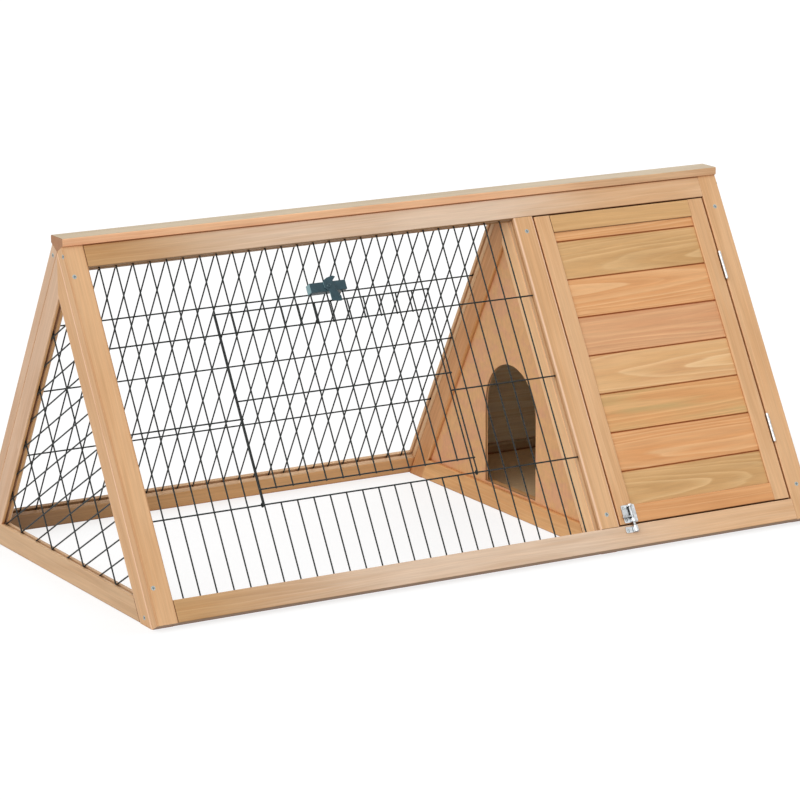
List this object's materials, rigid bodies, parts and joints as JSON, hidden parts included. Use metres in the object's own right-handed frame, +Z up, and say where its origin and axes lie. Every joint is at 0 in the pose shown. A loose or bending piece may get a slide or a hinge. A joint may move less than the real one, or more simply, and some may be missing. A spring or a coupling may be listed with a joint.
{
  "type": "outdoor rabbit run",
  "caption": "A-frame wooden rabbit run with wire mesh panels, a hinged wire door, and a boarded sleeping house behind an arched doorway, with its own bolted door.",
  "frame": {"origin": "on the ground under the middle of the ridge: the middle of the bottom of the bounding box", "axes": "+Z up; +X along the ridge from the wire run towards the boarded house; -Y is the front, with both doors"},
  "size_m": [1.18, 0.6246, 0.534],
  "materials": {
    "fir_bars": "planed fir with a thin clear stain",
    "fir_boards": "tongue-and-groove fir boards, stained more orange",
    "plywood": "sanded plywood",
    "coated_wire": "dark coated welded wire, semi-gloss",
    "zinc": "bright zinc plate",
    "black_latch": "black moulded plastic"
  },
  "bodies": {
    "frame": {"ridge_cap": "fir_bars", "front_left_stile": "fir_bars", "front_middle_stile": "fir_bars", "front_right_stile": "fir_bars", "front_top_rail": "fir_bars", "front_bottom_rail": "fir_bars", "back_left_stile": "fir_bars", "back_middle_stile": "fir_bars", "back_right_stile": "fir_bars", "back_top_rail": "fir_bars", "back_bottom_rail": "fir_bars", "left_end_front_leg": "fir_bars", "left_end_back_leg": "fir_bars", "left_end_bottom_rail": "fir_bars", "right_end_front_leg": "fir_bars", "right_end_back_leg": "fir_bars", "right_end_bottom_rail": "fir_bars", "partition_front_leg": "fir_bars", "partition_back_leg": "fir_bars", "partition_bottom_rail": "fir_bars", "left_end_mesh": "coated_wire", "front_mesh_left": "coated_wire", "front_mesh_right": "coated_wire", "front_mesh_top": "coated_wire", "front_mesh_bottom": "coated_wire", "back_mesh": "coated_wire", "right_end_boards": "fir_boards", "partition_panel": "plywood", "house_floor": "plywood", "house_back_boards": "fir_boards", "run_latch_block": "black_latch", "run_latch_rivet": "zinc", "hinge_frame_leaves": "zinc", "hinge_pins": "zinc", "hinge_frame_screws": "zinc", "bolt_keeper": "zinc", "frame_screws": "zinc"},
    "house_door": {"house_door_left_stile": "fir_bars", "house_door_right_stile": "fir_bars", "house_door_top_rail": "fir_bars", "house_door_bottom_rail": "fir_bars", "house_door_boards": "fir_boards", "hinge_door_leaves": "zinc", "hinge_door_screws": "zinc", "bolt_plate": "zinc", "bolt_plate_screws": "zinc"},
    "house_bolt": {"bolt_rod": "zinc"},
    "wire_door": {"run_door": "coated_wire"},
    "latch_lever": {"run_latch_lever": "black_latch"}
  },
  "joints": [
    {"name": "house_door_hinge", "type": "hinge", "parent": "frame", "child": "house_door", "pos_m": [0.5535, -0.16699, 0.26673], "axis": [0, 0.5, 0.866], "range_deg": [0, 170]},
    {"name": "house_bolt_slide", "type": "slide", "parent": "house_door", "child": "house_bolt", "axis": [0, 0.5, 0.866], "range_m": [0, 0.0135]},
    {"name": "wire_door_hinge", "type": "hinge", "parent": "frame", "child": "wire_door", "pos_m": [-0.18225, -0.22689, 0.14197], "axis": [1, 0, 0], "range_deg": [0, 145]},
    {"name": "latch_lever_turn", "type": "hinge", "parent": "frame", "child": "latch_lever", "pos_m": [-0.1682, -0.07379, 0.42654], "axis": [0, -0.866, 0.5], "range_deg": [-90, 90]}
  ]
}
